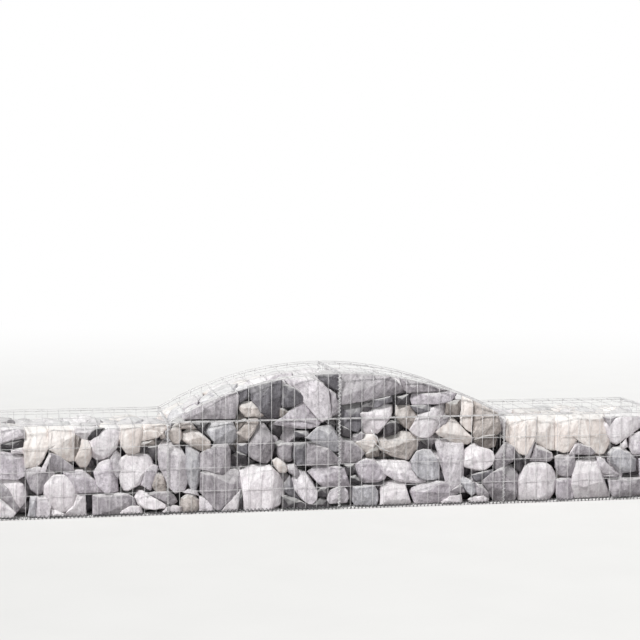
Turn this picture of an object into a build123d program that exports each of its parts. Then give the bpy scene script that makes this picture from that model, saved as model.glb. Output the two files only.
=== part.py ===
"""Gabion wall with an arched middle: a welded wire basket 3 m long, filled with quarried stone.

Millimetres, +X along the wall, +Y to its back, +Z up. The origin is on the ground, under the top of the arch.
"""
import math
import os

from build123d import *

# Driving dimensions
bay = 750.0  # length of one bay, between two cross panels
bays_each_side = 2  # bays on each side of the top of the arch
depth = 500.0  # outside of the front panel to outside of the back panel
height = 400.0  # height of the straight panels
rise = 200.0  # how far the arch stands above them
wire = 4.0  # thickness of every wire
upright_pitch = 50.0  # uprights of the front panels
back_pitch = 100.0  # uprights of the back panels
rail_pitch = 100.0  # level wires of the upright panels
cross_pitch = 100.0  # uprights of the end panels and dividers
lid_pitch = 150.0  # cross wires of the lids
base_pitch = 250.0  # cross wires of the base
lid_lanes = 3  # gaps between the lengthwise wires of a lid or base panel
spiral_corners = 6  # straight runs in one turn of a spiral
seat = 0.3  # gap under a curved lid and over the middle divider
lacing_gap = 0.7  # gap between a spiral and the wires that it laces
stone_gap = 1.0  # gap between the stones and the upright panels around them

# Worked out from them
sheet = 2 * wire  # thickness of a welded sheet, one layer of wires on the other
spiral_pitch = rail_pitch  # a spiral passes outside the basket at every rail
corner_bundle = math.hypot(wire, 1.5 * wire)  # reach of the wires that meet at a station, from their middle
inside = depth / 2 - sheet  # distance of the front and back panels' inner faces from the middle
half_length = bays_each_side * bay
lane = depth / lid_lanes
arch_radius = (bay**2 + rise**2) / (2 * rise)
arch_centre = height + rise - arch_radius
crown = height + rise
stations = [index * bay for index in range(-bays_each_side, bays_each_side + 1)]

os.makedirs("parts", exist_ok=True)


def save(part, name):
    """Labels a finished piece and writes its STEP file."""
    part.label = name
    export_step(part, f"parts/{name}.step")


def places(start, end, pitch, low=0.0, high=0.0):
    """Centres of parallel wires: one along each edge, held in by low and high, and equal gaps between."""
    gaps = max(1, round((end - start) / pitch))
    between = [start + step * (end - start) / gaps for step in range(1, gaps)]
    return [start + low + wire / 2, *between, end - high - wire / 2]


def arch_top(x):
    """Height of the arch's curve above the ground at x."""
    return arch_centre + math.sqrt(arch_radius**2 - x**2)


def welded_sheet(plane, first, second, span_first, span_second):
    """Two layers of square wires, welded where they cross.

    The first layer lies on the plane with its wires across, the second layer on top of it along the plane.
    """
    low_first, high_first = span_first
    low_second, high_second = span_second
    with BuildPart() as sheet_part:
        with BuildSketch(plane):
            with Locations([((low_first + high_first) / 2, place) for place in first]):
                Rectangle(high_first - low_first, wire)
        extrude(amount=wire)
        with BuildSketch(plane.offset(wire)):
            with Locations([(place, (low_second + high_second) / 2) for place in second]):
                Rectangle(wire, high_second - low_second)
        extrude(amount=wire)
    return sheet_part.part


def grid_sheet(plane, first, second, span_first, span_second):
    """One layer of square wires across and along the plane, joined where they cross."""
    low_first, high_first = span_first
    low_second, high_second = span_second
    with BuildPart() as sheet_part:
        with BuildSketch(plane):
            with Locations([((low_first + high_first) / 2, place) for place in first]):
                Rectangle(high_first - low_first, wire)
            with Locations([(place, (low_second + high_second) / 2) for place in second]):
                Rectangle(wire, high_second - low_second)
        extrude(amount=wire)
    return sheet_part.part


def straight_panel(start, pitch):
    """Front panel of one bay: rails inside, uprights outside."""
    rails = places(0, height, rail_pitch)
    uprights = places(start, start + bay, pitch)
    return welded_sheet(Plane.XZ.offset(inside), rails, uprights, (start, start + bay), (0, height))


def arch_panel(side, pitch):
    """Front face of half the arch, on the straight panel: a foot rail, a curved rail and uprights."""
    uprights = [place for place in places(0, bay, pitch) if arch_top(place) > height + sheet]
    with BuildPart() as panel:
        with BuildSketch(Plane.XZ.offset(inside)):
            with Locations((0, arch_centre)):
                Circle(arch_radius)
                Circle(arch_radius - wire, mode=Mode.SUBTRACT)
            with Locations((side * bay / 2, height + wire / 2)):
                Rectangle(bay, wire)
            with Locations((side * bay / 2, height + rise / 2)):
                Rectangle(bay, rise, mode=Mode.INTERSECT)
            with Locations((0, arch_centre)):
                Circle(arch_radius, mode=Mode.INTERSECT)
        extrude(amount=wire)
        with BuildSketch(Plane.XZ.offset(inside + wire)):
            with Locations([(side * place, height + rise / 2) for place in uprights]):
                Rectangle(wire, rise)
            with Locations((0, arch_centre)):
                Circle(arch_radius, mode=Mode.INTERSECT)
        extrude(amount=wire)
    return panel.part


def flat_lid(start):
    """Lid of a straight bay: cross wires under lengthwise wires."""
    cross = places(start, start + bay, lid_pitch)
    lanes = places(-depth / 2, depth / 2, lane)
    plane = Plane.XY.offset(height).rotated((0, 0, 90))
    return welded_sheet(plane, [-place for place in cross], lanes, (-depth / 2, depth / 2), (-start - bay, -start))


def arched_lid(side):
    """Lid of half the arch: cross wires on the curve, under bent lengthwise wires."""
    low = arch_radius + seat
    with BuildPart() as lid:
        with BuildSketch(Plane.XZ.offset(-depth / 2)):
            for place in places(0, bay, lid_pitch):
                lean = -math.degrees(math.asin(place / arch_radius))
                with Locations(Location((side * place, arch_top(place), 0), (0, 0, side * lean))):
                    Rectangle(wire, 4 * wire)
            with Locations((0, arch_centre)):
                Circle(low + wire, mode=Mode.INTERSECT)
                Circle(low, mode=Mode.SUBTRACT)
            with Locations((side * bay / 2, height + rise / 2)):
                Rectangle(bay, 2 * rise, mode=Mode.INTERSECT)
        extrude(amount=depth)
        for place in places(-depth / 2, depth / 2, lane):
            with BuildSketch(Plane.XZ.offset(place - wire / 2)):
                with Locations((0, arch_centre)):
                    Circle(low + sheet)
                    Circle(low + wire, mode=Mode.SUBTRACT)
                with Locations((side * bay / 2, height + rise / 2)):
                    Rectangle(bay, 2 * rise, mode=Mode.INTERSECT)
            extrude(amount=wire)
    return lid.part


def base_panel(start):
    """Base of one bay, held in by the panels that stand around it."""
    low = wire if start == stations[0] else 0
    high = wire if start + bay == stations[-1] else 0
    lanes = places(-depth / 2, depth / 2, lane, sheet, sheet)
    cross = places(start, start + bay, base_pitch, low, high)
    return grid_sheet(Plane.XY, lanes, cross, (start + low, start + bay - high), (-inside, inside))


def end_panel():
    """Panel that closes the right end, between the front and back panels."""
    rails = places(0, height, rail_pitch)
    uprights = places(-depth / 2, depth / 2, cross_pitch, sheet, sheet)
    return grid_sheet(Plane.YZ.offset(half_length - wire), rails, uprights, (-inside, inside), (0, height))


def divider(station):
    """Panel across the basket that stands on the base and reaches up to the lid."""
    top = height if station else crown - seat
    rails = places(0, top, rail_pitch, wire)
    uprights = places(-depth / 2, depth / 2, cross_pitch, sheet, sheet)
    return grid_sheet(Plane.YZ.offset(station - wire / 2), rails, uprights, (-inside, inside), (wire, top))


def spiral_radius(bundle):
    """Distance of a spiral's corners from its axis, where its runs clear a bundle of wires."""
    return (bundle + lacing_gap + wire / 2) / math.cos(math.pi / spiral_corners)


def stone_fill(start):
    """The stones of one bay as one plain mass, curved under the arch and beveled along the spirals."""
    bevel = math.sqrt(2) * (spiral_radius(corner_bundle) + wire)
    middle = start + bay / 2
    low = start + (wire if start == stations[0] else wire / 2) + stone_gap
    high = start + bay - (wire if start + bay == stations[-1] else wire / 2) - stone_gap
    with BuildPart() as fill:
        with BuildSketch(Plane.XZ.offset(-inside + stone_gap)):
            if abs(middle) < bay:
                with Locations(((low + high) / 2, (wire + crown) / 2)):
                    Rectangle(high - low, crown - wire)
                with Locations((0, arch_centre)):
                    Circle(arch_radius - stone_gap, mode=Mode.INTERSECT)
            else:
                with Locations(((low + high) / 2, (wire + height - stone_gap) / 2)):
                    Rectangle(high - low, height - stone_gap - wire)
        extrude(amount=2 * (inside - stone_gap))
        upright_edges = fill.edges().filter_by(Axis.Z)
        top_edges = fill.edges().filter_by(Axis.Y).sort_by(Axis.Z)[2:]
        chamfer(upright_edges + top_edges, length=bevel)
    return fill.part


def spiral(plane, length, bundle):
    """Spiral that laces a bundle of wires together along the plane's Z axis.

    It turns from the plane's X direction on, and bundle is the distance of the outermost laced corner.
    """
    radius = spiral_radius(bundle)
    steps = round(length / spiral_pitch) * spiral_corners
    turn = 2 * math.pi / spiral_corners
    corners = [
        (radius * math.cos(step * turn), radius * math.sin(step * turn), length * step / steps)
        for step in range(1, steps)
    ]
    with BuildPart() as coil:
        with BuildLine() as path:
            Polyline(*[plane.from_local_coords(corner) for corner in corners])
        with BuildSketch(Plane(path.line @ 0, x_dir=plane.z_dir, z_dir=path.line % 0)):
            Rectangle(wire, wire)
        sweep(path=path.line, transition=Transition.RIGHT)
    return coil.part


# Panels, lids, base and stones, bay by bay from the left
for number, start in enumerate(stations[:-1], 1):
    save(straight_panel(start, upright_pitch), f"front_panel_{number}")
    with BuildPart() as back_panel:
        mirror(straight_panel(start, back_pitch), about=Plane.XZ)
    save(back_panel.part, f"back_panel_{number}")
    if abs(start + bay / 2) < bay:
        lid = arched_lid(1 if start >= 0 else -1)
    else:
        lid = flat_lid(start)
    save(lid, f"lid_{number}")
    save(base_panel(start), f"base_panel_{number}")
    save(stone_fill(start), f"stone_fill_{number}")

# Faces of the arch
for side, side_name in ((-1, "left"), (1, "right")):
    save(arch_panel(side, upright_pitch), f"arch_front_{side_name}")
    with BuildPart() as arch_back:
        mirror(arch_panel(side, back_pitch), about=Plane.XZ)
    save(arch_back.part, f"arch_back_{side_name}")

# Ends and dividers
right_end = end_panel()
save(right_end, "end_panel_right")
with BuildPart() as left_end:
    mirror(right_end, about=Plane.YZ)
save(left_end.part, "end_panel_left")
for station, station_name in zip(stations[1:-1], ("left", "centre", "right")):
    save(divider(station), f"divider_{station_name}")

# Spirals up the front and back at each station, and across the top
for number, station in enumerate(stations, 1):
    outer = abs(station) == half_length
    reach = wire / 2 if outer else wire
    x = station - math.copysign(wire / 2, station) if outer else station
    tall = height if station else crown
    for facing, face_name in ((-1, "front"), (1, "back")):
        foot = Plane((x, facing * (depth / 2 - 1.5 * wire), 0), x_dir=(0, facing, 0), z_dir=(0, 0, 1))
        bundle = math.hypot(reach, 1.5 * wire)
        save(spiral(foot, tall, bundle), f"spiral_{face_name}_{number}")
    at_foot = abs(station) == bay
    ridge = Plane((x, -depth / 2, tall + (wire / 2 if at_foot else 0)), x_dir=(0, 0, 1), z_dir=(0, 1, 0))
    high = 1.5 * wire if at_foot else wire + seat
    save(spiral(ridge, depth, math.hypot(reach, high)), f"spiral_top_{number}")
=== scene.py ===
"""Looks of the arched gabion wall: round galvanised wires, spiral binders and quarried stones.

Metres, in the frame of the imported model: +X along the wall, +Y to its back, +Z up.
"""
import logging
import math
import random
from collections.abc import Callable, Iterable
from dataclasses import dataclass, field
from enum import Enum

import bmesh
import bpy
from mathutils import Matrix, Vector, noise


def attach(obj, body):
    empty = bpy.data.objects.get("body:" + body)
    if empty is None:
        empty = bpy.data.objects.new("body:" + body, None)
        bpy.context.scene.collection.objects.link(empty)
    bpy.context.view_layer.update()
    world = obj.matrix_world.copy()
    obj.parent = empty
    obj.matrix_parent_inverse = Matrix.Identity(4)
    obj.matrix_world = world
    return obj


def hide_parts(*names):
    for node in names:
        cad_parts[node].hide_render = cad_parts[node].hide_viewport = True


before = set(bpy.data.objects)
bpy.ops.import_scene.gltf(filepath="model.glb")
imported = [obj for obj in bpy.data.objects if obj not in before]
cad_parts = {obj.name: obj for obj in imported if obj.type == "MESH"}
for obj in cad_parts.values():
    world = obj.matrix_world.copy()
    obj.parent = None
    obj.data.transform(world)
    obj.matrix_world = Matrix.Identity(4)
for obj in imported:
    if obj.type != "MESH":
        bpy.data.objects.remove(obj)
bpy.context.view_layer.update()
LOG = logging.getLogger("gabion")

Material = bpy.types.Material
Socket = bpy.types.NodeSocket
Colour = tuple[int, int, int]
Pair = tuple[float, float]
Triple = tuple[float, float, float]

BAY = 0.75
STATIONS = (-1.5, -0.75, 0.0, 0.75, 1.5)
END = STATIONS[-1]
HALF_DEPTH = 0.25
HEIGHT = 0.4
RISE = 0.2
ARCH_RADIUS = (BAY**2 + RISE**2) / (2 * RISE)
ARCH_CENTRE = HEIGHT + RISE - ARCH_RADIUS
RAIL_PITCH = 0.1  # height of an opening of the mesh
UPRIGHT_PITCH = 0.05  # width of an opening
LID_PITCH = 0.075  # between the cross wires of a lid or base
LANES = 3  # gaps between the lengthwise wires of a lid or base
SWAY_STEP = 0.05  # length of a wire's straight pieces where it is bent
FIRM_STEP = 0.25  # the same where it stays straight
CURVE_STEPS = 40  # straight pieces of a wire that follows half the arch
WIRE = 0.002  # half the thickness of the model's wires, which sets where they lie
DRAWN = 0.0011  # radius of a wire as it is drawn
EDGE = 0.0016  # the same for the top rails and the arch's rails
WELD = 0.0003  # how far welded wires sink into each other
LID_SEAT = 0.0003  # gap under an arched lid and over the middle divider
LACED = HALF_DEPTH - 3 * WIRE  # middle of the basket to the spirals' axes
INSIDE = HALF_DEPTH - 4 * WIRE  # the same to the inner faces of the panels
EYE = Vector((-1.328, -6.752, 1.291))  # where the photograph was taken from
PER_METRE = 100  # the stones' outlines are in centimetres
ROUND = 6.28  # about a full turn


def arch_top(x: float) -> float:
    """Height of the arch's curve above the ground at x."""
    return ARCH_CENTRE + math.sqrt(ARCH_RADIUS**2 - min(abs(x), BAY) ** 2)


def wall_top(x: float) -> float:
    """Height of the basket's top at x, on the straight bays or on the arch."""
    return arch_top(x) if abs(x) < BAY else HEIGHT


def on_arch(x: float, y: float, lift: float) -> Vector:
    """Place at a distance from the arch's curve, square to the curve at x."""
    radial = Vector((x, 0.0, arch_top(x) - ARCH_CENTRE)).normalized()
    return Vector((0.0, y, ARCH_CENTRE)) + radial * (ARCH_RADIUS + lift)


def inward(station: float, by: float) -> float:
    """Place of the wires at a station, moved in by that much at the wall's ends."""
    return station - math.copysign(by, station) if abs(station) == END else station


def linear(red: float, green: float, blue: float) -> tuple[float, ...]:
    """Turns a colour as it shows on a screen into the linear colour of a shader.

    Args:
        red: Red on the screen, 0 to 255.
        green: Green on the screen.
        blue: Blue on the screen.

    Returns:
        The linear colour with an alpha of 1.
    """
    steps = [channel / 255 for channel in (red, green, blue)]
    return (*(step / 12.92 if step <= 0.04045 else ((step + 0.055) / 1.055) ** 2.4 for step in steps), 1.0)


class Graph:
    """Node tree of a material or of the world, built from short calls."""

    def __init__(self, owner: bpy.types.ID) -> None:
        """Starts an empty tree.

        Args:
            owner: New material or world.
        """
        self.owner = owner
        owner.use_nodes = True
        owner.node_tree.nodes.clear()

    def add(self, kind: str, links: dict[object, object] | None = None, **settings: object) -> bpy.types.Node:
        """Adds a node.

        Args:
            kind: Blender's name of the node's type.
            links: Name or number of an input, to the socket that feeds it or to a plain value.
            **settings: Properties of the node.

        Returns:
            The new node.
        """
        tree = self.owner.node_tree
        node = tree.nodes.new(kind)
        for key, value in settings.items():
            setattr(node, key, value)
        for key, value in (links or {}).items():
            if isinstance(value, Socket):
                tree.links.new(value, node.inputs[key])
            else:
                node.inputs[key].default_value = value
        return node

    def noise(self, place: Socket, scale: float, detail: float, rough: float) -> Socket:
        """Adds a noise texture.

        Args:
            place: Where it is read.
            scale: Its fineness.
            detail: Its octaves.
            rough: Weight of the finer octaves.

        Returns:
            Socket of its level.
        """
        links = {"Vector": place, "Scale": scale, "Detail": detail, "Roughness": rough}
        return self.add("ShaderNodeTexNoise", links).outputs["Fac"]

    def bump(self, *layers: tuple[Socket, float, float]) -> Socket:
        """Adds relief in layers.

        Args:
            *layers: Height, strength and depth of each layer, from the lowest up.

        Returns:
            Socket of the normal.
        """
        links = {}
        for height, strength, depth in layers:
            links |= {"Height": height, "Strength": strength, "Distance": depth}
            links["Normal"] = self.add("ShaderNodeBump", links).outputs["Normal"]
        return links["Normal"]

    def ramp(self, source: Socket, *stops: Pair) -> Socket:
        """Maps a value through a grey ramp.

        Args:
            source: Socket that gives the value.
            *stops: Position and grey level of both ends.

        Returns:
            The ramp's colour socket.
        """
        node = self.add("ShaderNodeValToRGB", {"Fac": source})
        for element, (position, level) in zip(node.color_ramp.elements, stops):
            element.position = position
            element.color = (level, level, level, 1.0)
        return node.outputs["Color"]

    def mix(self, share: object, first: object, second: object, blend: str = "MIX") -> Socket:
        """Mixes two colours.

        Args:
            share: Share of the second colour, a socket or a number.
            first: First colour or its socket.
            second: Second colour or its socket.
            blend: Blend mode of the node.

        Returns:
            Socket of the mixed colour.
        """
        inputs = {0: share, 6: first, 7: second}
        node = self.add("ShaderNodeMix", inputs, data_type="RGBA", blend_type=blend, clamp_result=True)
        return node.outputs[2]

    def finish(self, shader: bpy.types.Node, output: str = "ShaderNodeOutputMaterial") -> bpy.types.ID:
        """Joins the last shader to the output.

        Args:
            shader: The shader.
            output: Blender's name of the output's type.

        Returns:
            The finished material or world.
        """
        self.add(output, {"Surface": shader.outputs[0]})
        return self.owner


@dataclass(frozen=True)
class StoneFinish:
    """Quarried stone: a body colour with clouds, streaks, specks, a painted highlight on faces that point up,
    and a rough broken surface.
    """

    name: str
    body: Colour
    stain: Colour
    streaks: float = 0.35
    specks: float = 0.3
    grit: float = 0.62
    # Painted highlight: the colour that faces pointing up are mixed towards, as if lit from above
    painted_top_light: Colour = (243, 242, 239)

    def material(self) -> Material:
        """Builds the stone's material.

        Returns:
            The new material.
        """
        graph = Graph(bpy.data.materials.new(self.name))
        grain = graph.add("ShaderNodeAttribute", attribute_name="grain").outputs["Vector"]
        shade = graph.add("ShaderNodeAttribute", attribute_name="shade").outputs["Fac"]
        stretched = {"Vector": grain, "Scale": (46.0, 46.0, 3.5)}
        along = graph.add("ShaderNodeMapping", stretched).outputs["Vector"]
        normal = graph.add("ShaderNodeNewGeometry").outputs["Normal"]
        upward = graph.add("ShaderNodeSeparateXYZ", {"Vector": normal}).outputs["Z"]
        clouds = graph.noise(grain, 11.0, 5.0, 0.6)
        bands = graph.noise(along, 1.0, 4.0, 0.62)
        dents = graph.noise(grain, 42.0, 6.0, 0.62)
        mottle = graph.noise(grain, 62.0, 6.0, 0.8)
        crystals = graph.noise(grain, 190.0, 3.0, 0.7)
        cells = {"Vector": grain, "Scale": 75.0, "Randomness": 1.0}
        pits = graph.add("ShaderNodeTexVoronoi", cells).outputs["Distance"]
        body, stain = linear(*self.body), linear(*self.stain)
        pale = (*(min(1.0, 1.12 * channel) for channel in body[:3]), 1.0)
        speck = linear(*[0.62 * part for part in self.stain])
        colour = graph.mix(graph.ramp(clouds, (0.40, 0.0), (0.66, 0.75)), body, stain)
        colour = graph.mix(graph.ramp(bands, (0.47, 0.0), (0.62, 1.7 * self.streaks)), colour, stain)
        colour = graph.mix(graph.ramp(bands, (0.32, 0.8), (0.46, 0.0)), colour, pale)
        colour = graph.mix(graph.ramp(crystals, (0.30, self.specks), (0.43, 0.0)), colour, speck)
        colour = graph.mix(1.0, colour, graph.ramp(mottle, (0.38, self.grit), (0.56, 1.0)), "MULTIPLY")
        # Painted highlight: faces that point up are lightened towards this colour, standing in for light from
        # above
        colour = graph.mix(graph.ramp(upward, (0.25, 0.0), (0.85, 0.6)), colour, linear(*self.painted_top_light))
        shader = {
            "Base Color": graph.mix(1.0, colour, shade, "MULTIPLY"),
            "Roughness": graph.ramp(clouds, (0.3, 0.78), (0.7, 0.95)),
            "Specular IOR Level": 0.35,
            "Normal": graph.bump(
                (dents, 0.75, 0.007), (bands, 0.5, 0.004), (pits, 0.25, 0.002), (crystals, 0.4, 0.0012)
            ),
        }
        return graph.finish(graph.add("ShaderNodeBsdfPrincipled", shader))


@dataclass(frozen=True)
class WireFinish:
    """Galvanised steel wire: pale zinc with spangle, dull patches and fine drawing marks."""

    name: str
    zinc: Colour = (225, 223, 223)
    dull: Colour = (178, 176, 176)
    metallic: float = 0.2

    def material(self) -> Material:
        """Builds the wire's material.

        Returns:
            The new material.
        """
        graph = Graph(bpy.data.materials.new(self.name))
        place = graph.add("ShaderNodeTexCoord").outputs["Object"]
        spangle = graph.add("ShaderNodeTexVoronoi", {"Vector": place, "Scale": 260.0}).outputs["Color"]
        flakes = graph.add("ShaderNodeSeparateColor", {"Color": spangle}).outputs[0]
        weather = graph.noise(place, 22.0, 6.0, 0.65)
        marks = graph.noise(place, 900.0, 2.0, 0.6)
        zinc, dull = linear(*self.zinc), linear(*self.dull)
        patched = graph.mix(graph.ramp(weather, (0.42, 0.0), (0.68, 0.85)), zinc, dull)
        shader = {
            "Base Color": graph.mix(graph.ramp(flakes, (0.0, 0.25), (1.0, 0.0)), patched, dull),
            "Metallic": self.metallic,
            "Roughness": graph.ramp(weather, (0.3, 0.34), (0.7, 0.58)),
            "Normal": graph.bump((marks, 0.2, 0.0004)),
        }
        return graph.finish(graph.add("ShaderNodeBsdfPrincipled", shader))


class Tone(Enum):
    """Kinds of stone in the basket, each with its finish."""

    WHITE = StoneFinish("white_stone", (243, 238, 240), (218, 210, 214), 0.45, 0.12, 0.78)
    CREAM = StoneFinish("cream_stone", (244, 237, 233), (222, 211, 205), 0.60, 0.12, 0.85)
    TAN = StoneFinish("tan_stone", (220, 211, 206), (180, 170, 164), 0.5, 0.45)
    PALE = StoneFinish("pale_stone", (240, 234, 238), (202, 195, 200), 0.45, 0.3, 0.66)
    COOL = StoneFinish("cool_stone", (212, 210, 214), (168, 166, 171), 0.4, 0.4)
    LILAC = StoneFinish("lilac_stone", (222, 215, 221), (182, 174, 181), 0.4, 0.3)
    GREY = StoneFinish("grey_stone", (204, 198, 202), (155, 149, 154), 0.45, 0.45)
    SLATE = StoneFinish("slate_stone", (150, 147, 152), (98, 95, 100), 0.35, 0.5)
    # Brown stone, a darker copy of the tan that also stands for tan stones in painted shade
    BROWN = StoneFinish("brown_stone_and_painted_tan_shade", (162, 154, 149), (110, 102, 98), 0.5, 0.5)
    MID = StoneFinish("mid_grey_stone", (184, 178, 182), (134, 128, 133), 0.4, 0.45)
    # Dark stone that mostly stands for the painted shade of deep gaps between the stones, at the front and in
    # the backing
    DARK = StoneFinish("dark_stone_and_painted_gap_shade", (98, 94, 97), (54, 51, 54), 0.35, 0.5)


W, C, T, P, K, L, G, S, B, M, D = Tone


@dataclass(frozen=True)
class StoneFace:
    """Outline of one stone as it lies behind the front mesh, in centimetres along the wall and up."""

    tone: Tone
    corners: tuple[Pair, ...]
    worn: bool = False

    @property
    def seed(self) -> int:
        """Number that sets what the outline leaves open, and stays when other stones change."""
        return round(970 * abs(self.corners[0][0]) + 310 * self.corners[0][1] + 7 * len(self.corners))

    @property
    def middle(self) -> Pair:
        """Mean of the outline's corners."""
        across, up = zip(*self.corners)
        return sum(across) / len(across), sum(up) / len(up)

    @property
    def area(self) -> float:
        """Area inside the outline, in square centimetres."""
        following = self.corners[1:] + self.corners[:1]
        return abs(sum(a[0] * b[1] - b[0] * a[1] for a, b in zip(self.corners, following))) / 2


def stone(tone: Tone, *numbers: float, worn: bool = False) -> StoneFace:
    """Writes one outline as a flat row of numbers.

    Args:
        tone: Kind of stone.
        *numbers: Distance along the wall and height of each corner in turn, in centimetres.
        worn: Whether it is a smooth boulder rather than a broken block.

    Returns:
        The stone's face.
    """
    return StoneFace(tone, tuple(zip(numbers[0::2], numbers[1::2])), worn)


# Outlines of the front stones; the D outlines mostly stand for painted shade where the gaps between stones
# are deep
LEFT_BAY = (
    stone(W, -146, 17.5, -139, 17.5, -136, 15, -134.8, 11.5, -135.4, 8, -137.4, 5.6, -142.6, 14.2),
    stone(G, -149.5, 17.4, -146, 17, -142.4, 13.6, -137.4, 5.8, -139.2, 3.6, -143.4, 8.4, -149.5, 13.4),
    stone(W, -149.5, 13, -145.4, 9.8, -139.2, 3.4, -141, 1.2, -149.5, 1),
    stone(L, -149.5, 29.5, -140.8, 28.5, -135.5, 27, -135, 22, -135.5, 19, -138.5, 17.8, -149.5, 18.3),
    stone(W, -140.5, 30.5, -135.5, 30.8, -135.4, 28.2, -140, 28.6),
    stone(P, -149.5, 40, -136, 40, -135.6, 34.8, -140, 34.2, -146, 32.2, -149.5, 32),
    stone(D, -144, 32.4, -135.6, 34.2, -135.5, 31.3, -140, 31, -144, 31.2),
    stone(C, -135, 40, -125.4, 40, -125.3, 31, -127.5, 26.5, -129.3, 23.5, -132, 22.6, -134.8, 22.6,
          -135.2, 30),
    stone(C, -124.8, 40, -114.5, 40, -113.9, 36, -114.3, 25, -117, 24.8, -124.8, 29.8),
    stone(B, -113.7, 36, -111.9, 36, -111.9, 28, -113.9, 27),
    stone(W, -114.2, 40, -104.6, 40, -106.2, 37.4, -107.6, 35.6, -109.8, 33.4, -112, 34.6, -114, 36.4),
    # Dark sliver standing for the painted shade of a crescent gap between two stones
    stone(D, -108.8, 34.4, -106.8, 37, -105.4, 38.1, -102.4, 38.1, -105, 35.2, -107.8, 33),
    stone(C, -111.6, 34.4, -108.8, 33, -107.8, 30, -107.9, 26, -109.5, 22.3, -112, 22.3, -114, 25,
          -112.4, 28),
    stone(W, -128.5, 20.8, -125, 28.2, -123.8, 27.4, -126.6, 20.8),
    stone(G, -124.2, 28.4, -121, 27, -115.6, 22.6, -115, 20.6, -126.2, 20.6),
    stone(G, -134.3, 21.2, -130, 22.2, -124.5, 21, -122.8, 19.3, -126, 17.3, -127.7, 12, -130, 11.2,
          -132.5, 13.5, -134.2, 18),
    stone(W, -127.2, 11, -127, 14.5, -125.3, 17.5, -122.5, 18.7, -117, 18.7, -115, 16.5, -113.7, 13,
          -113.6, 9, -115, 5.2, -118, 3, -122, 3.2, -124.3, 5.5, -126.2, 8, worn=True),
    stone(L, -119.5, 20.2, -111, 20.4, -107, 16.5, -101, 11.6, -103, 11, -112.7, 11.2, -113.6, 15,
          -116, 18.6),
    stone(K, -133, 9.6, -130.5, 9.6, -130.6, 1, -134, 1),
    stone(P, -130.2, 9.6, -125.8, 9.4, -124.5, 6, -125.5, 1, -130.4, 1),
    stone(W, -113.4, 9.8, -110.3, 10, -110, 1, -118.5, 1, -118.3, 2.4, -115, 4, -113.2, 7.5),
    stone(W, -124.8, 4.8, -122, 2.8, -118.8, 2.2, -119, 0.8, -125.2, 0.8),
    stone(W, -107.9, 30, -107.9, 33.2, -105.4, 37, -101, 40, -95.4, 40, -94.8, 36, -96, 32.5, -97.5, 29.5,
          -99.5, 27, -102, 25.6, -105, 25.6, -107.2, 27, worn=True),
    stone(C, -95.6, 40, -86.2, 40, -85.8, 36.5, -87.3, 33, -87.2, 28.2, -89.5, 27.3, -92.5, 27.6, -94.8, 31,
          -95.4, 36),
    stone(C, -85, 40, -77, 40, -74, 38.4, -76, 37, -80, 37, -85.2, 38),
    stone(C, -87, 33.8, -85.4, 36.2, -83.5, 36.7, -79.5, 36.4, -78, 34.8, -80, 33.6, -84, 32.6, -87, 32),
    stone(B, -87, 31.6, -80.5, 33, -80, 30.3, -86.8, 30),
    stone(T, -79, 36.6, -76.6, 36.4, -76.2, 33.8, -78, 33.4),
    stone(D, -83.5, 29.6, -79.6, 30, -79.2, 25.5, -81, 24.8, -82.3, 27),
    stone(W, -95.8, 22, -94.5, 25, -91, 27, -88, 27.2, -84, 26.5, -81.9, 24.5, -81.7, 22.3, -84.7, 20.3,
          -85.7, 17, -87.2, 14, -92, 11.5, -93.5, 11.8, -95, 15),
    stone(L, -84.3, 20, -81.3, 21.8, -79.2, 21, -79.7, 18.3, -81.6, 15, -82.2, 11.5, -84, 12.5, -86.2, 13.8,
          -85.2, 17),
    stone(T, -81, 17.5, -79, 18.3, -76.6, 17, -75.7, 13, -76.2, 10.8, -80, 10.8, -81.3, 13),
    stone(W, -88.8, 8.5, -87.5, 10.8, -85.7, 10.8, -83.2, 8.4, -79.2, 6.6, -76.3, 4.7, -76.3, 3.4, -81, 3,
          -84.5, 3.5, -87.5, 5.2),
    stone(M, -83.2, 9.2, -81, 10.2, -75.4, 10, -73.2, 8.8, -71.3, 6, -73.5, 4.7, -75.8, 5.3, -79, 7.3),
    stone(G, -106.5, 9.5, -97, 10.2, -92, 9.4, -90, 8, -88.7, 4.8, -92, 4.7, -96, 2.8, -97, 1, -106.5, 1),
    stone(G, -99.3, 25, -97.2, 29.2, -95.2, 26, -95, 21, -96.2, 16.5, -98, 20),
    stone(L, -106, 19.5, -104, 23, -101, 24.7, -99.6, 24.5, -98, 20, -96.8, 18.5, -96.3, 11.5, -99, 10.8,
          -102, 11.2, -105, 14.5),
    stone(W, -95.8, 0.8, -95, 2.6, -91, 4.3, -87.2, 4.2, -86.2, 1, worn=True),
    stone(W, -77.8, 0.8, -75.5, 3.3, -73, 4.2, -69.8, 3.4, -69.5, 0.8, worn=True),
)

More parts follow.
